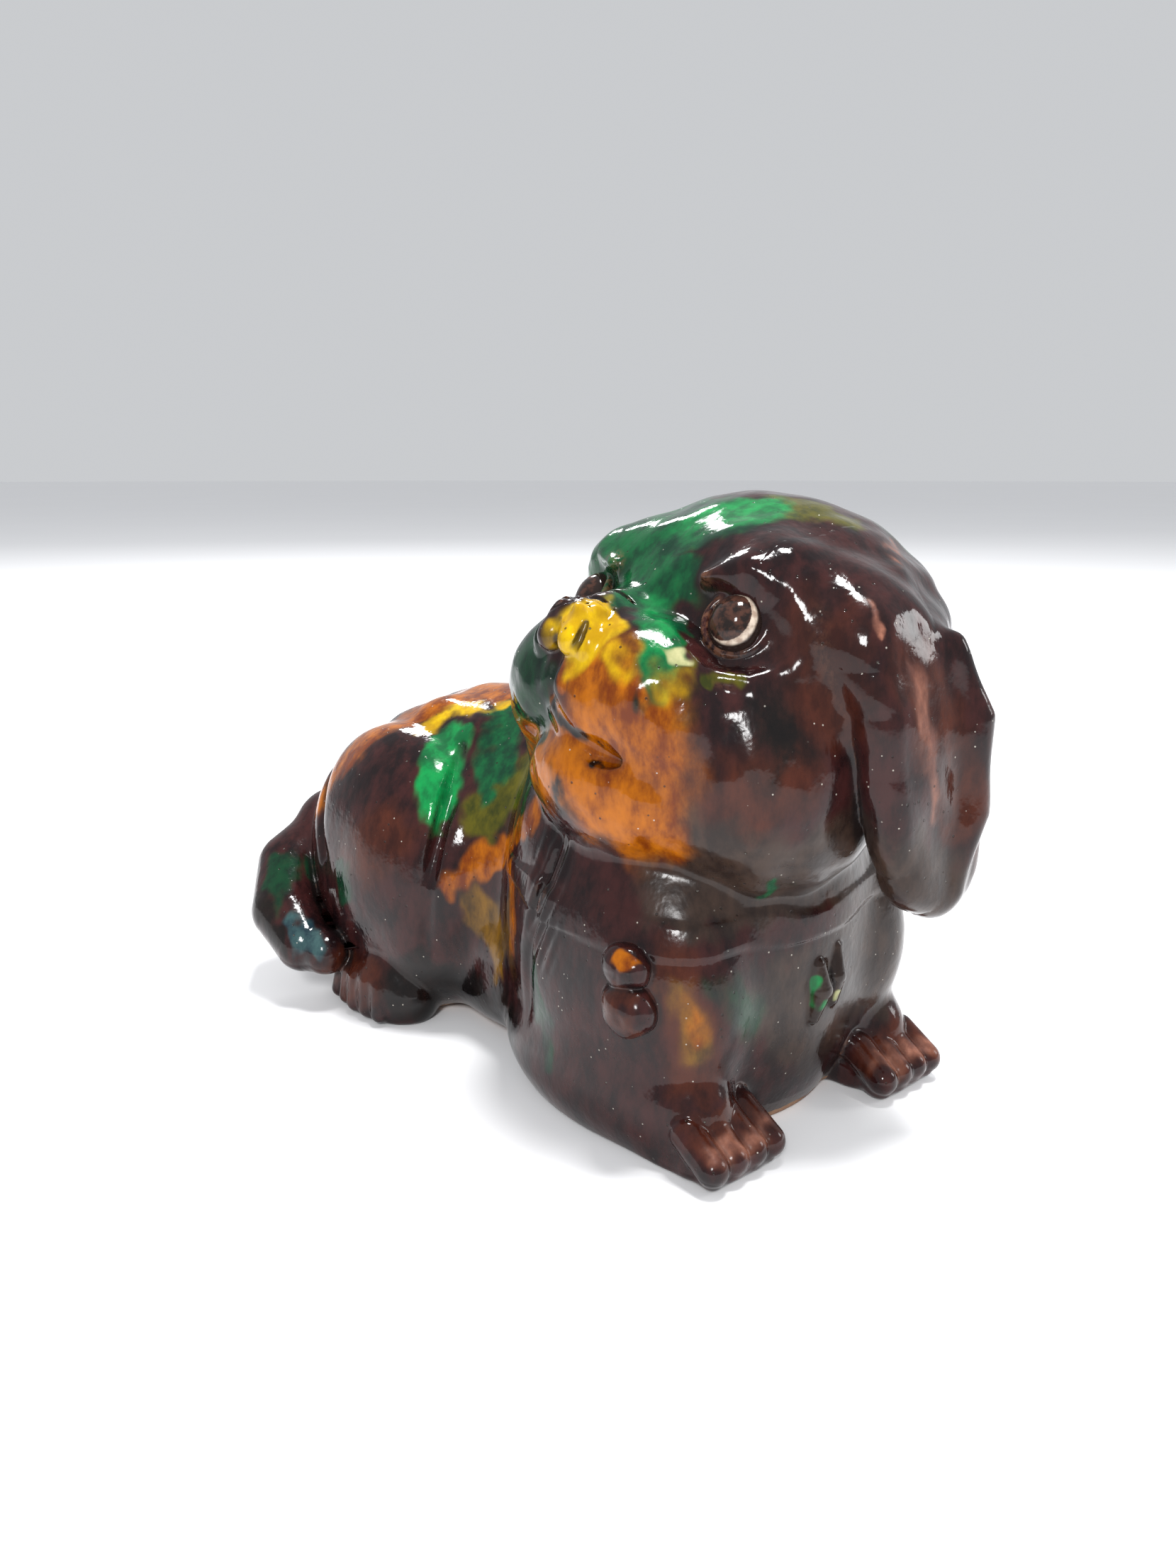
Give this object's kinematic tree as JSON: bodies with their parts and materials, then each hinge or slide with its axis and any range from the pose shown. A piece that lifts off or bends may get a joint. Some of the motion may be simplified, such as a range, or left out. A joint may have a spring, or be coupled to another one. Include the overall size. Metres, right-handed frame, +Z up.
{
  "type": "foo dog statue",
  "caption": "Recumbent glazed pottery puppy with its head turned to its right, hollow moulded shells with applied legs, ears, eyes, collar, pendants and tail",
  "frame": {"origin": "centre of the bounding box on the ground, under the body", "axes": "+Z up; the chest faces -Y and the tail +Y; the dog's left is +X; the head is turned to face -X"},
  "size_m": [0.0998, 0.1518, 0.1124],
  "materials": {
    "body_glaze": "runny lead glaze, brown with amber and green splashes, very glossy",
    "head_glaze": "runny lead glaze, green brow, yellow and amber muzzle, aubergine cheeks, very glossy",
    "ear_glaze": "dark aubergine-brown glaze, worn to pinkish tan on the ridges",
    "eye_glaze": "white slip under clear glaze with a brown pupil",
    "collar_glaze": "dark brown glaze pooled along the band",
    "pendant_glaze": "amber and red-brown glaze",
    "tail_glaze": "dark green to black glaze",
    "paw_glaze": "red-brown glaze, darker between the toes",
    "bare_clay": "unglazed buff stoneware with kiln marks"
  },
  "bodies": {
    "root": {"body_left_half": "body_glaze", "body_right_half": "body_glaze", "base_slab": "bare_clay", "head_face": "head_glaze", "head_back": "head_glaze", "ear_left": "ear_glaze", "ear_right": "ear_glaze", "eye_left": "eye_glaze", "eye_right": "eye_glaze", "nose_pad": "head_glaze", "collar_band": "collar_glaze", "bell": "pendant_glaze", "bell_knot": "pendant_glaze", "tassel": "pendant_glaze", "tail": "tail_glaze", "foreleg_left": "paw_glaze", "foreleg_right": "paw_glaze", "hind_paw_left": "paw_glaze", "hind_paw_right": "paw_glaze"}
  },
  "joints": []
}
